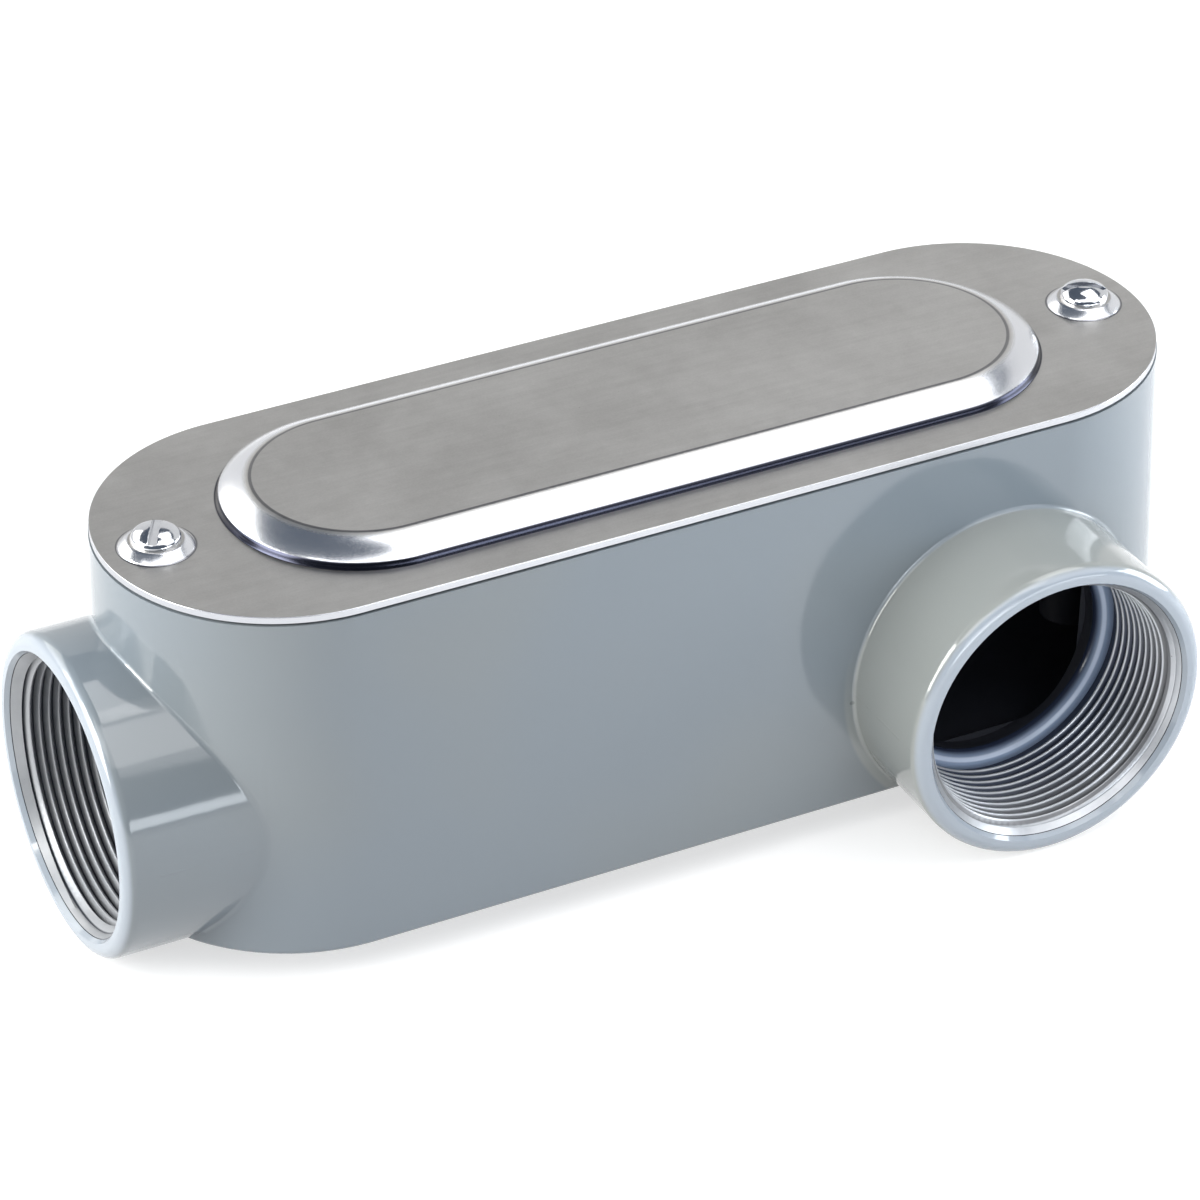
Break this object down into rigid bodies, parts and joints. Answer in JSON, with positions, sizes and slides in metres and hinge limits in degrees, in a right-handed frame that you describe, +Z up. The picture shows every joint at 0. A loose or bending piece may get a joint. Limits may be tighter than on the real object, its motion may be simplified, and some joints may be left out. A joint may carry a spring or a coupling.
{
  "type": "conduit body",
  "caption": "Long oval cast conduit body with a threaded hub on one end and one on the side, closed by a stamped cover with a raised panel and round-head screws.",
  "frame": {"origin": "under the middle of the whole part's box, level with the lowest line of the hubs, which bulge 7.4 mm below the housing's flat back", "axes": "+Z up from the back to the cover, +X along the body away from the end hub, so the end hub's mouth faces -X and the side hub's mouth faces -Y"},
  "size_m": [0.2583, 0.109, 0.0953],
  "materials": {
    "enamelled_casting": "glossy light grey enamel on die-cast aluminium",
    "cover_sheet": "satin mill finish, polished where the die drew it",
    "gasket_sheet": "matt black sheet",
    "plated_screw": "bright zinc plate"
  },
  "bodies": {
    "root": {"housing": "enamelled_casting", "cover": "cover_sheet", "gasket": "gasket_sheet", "cover_screw_hub_end": "plated_screw", "cover_screw_plain_end": "plated_screw"}
  },
  "joints": []
}
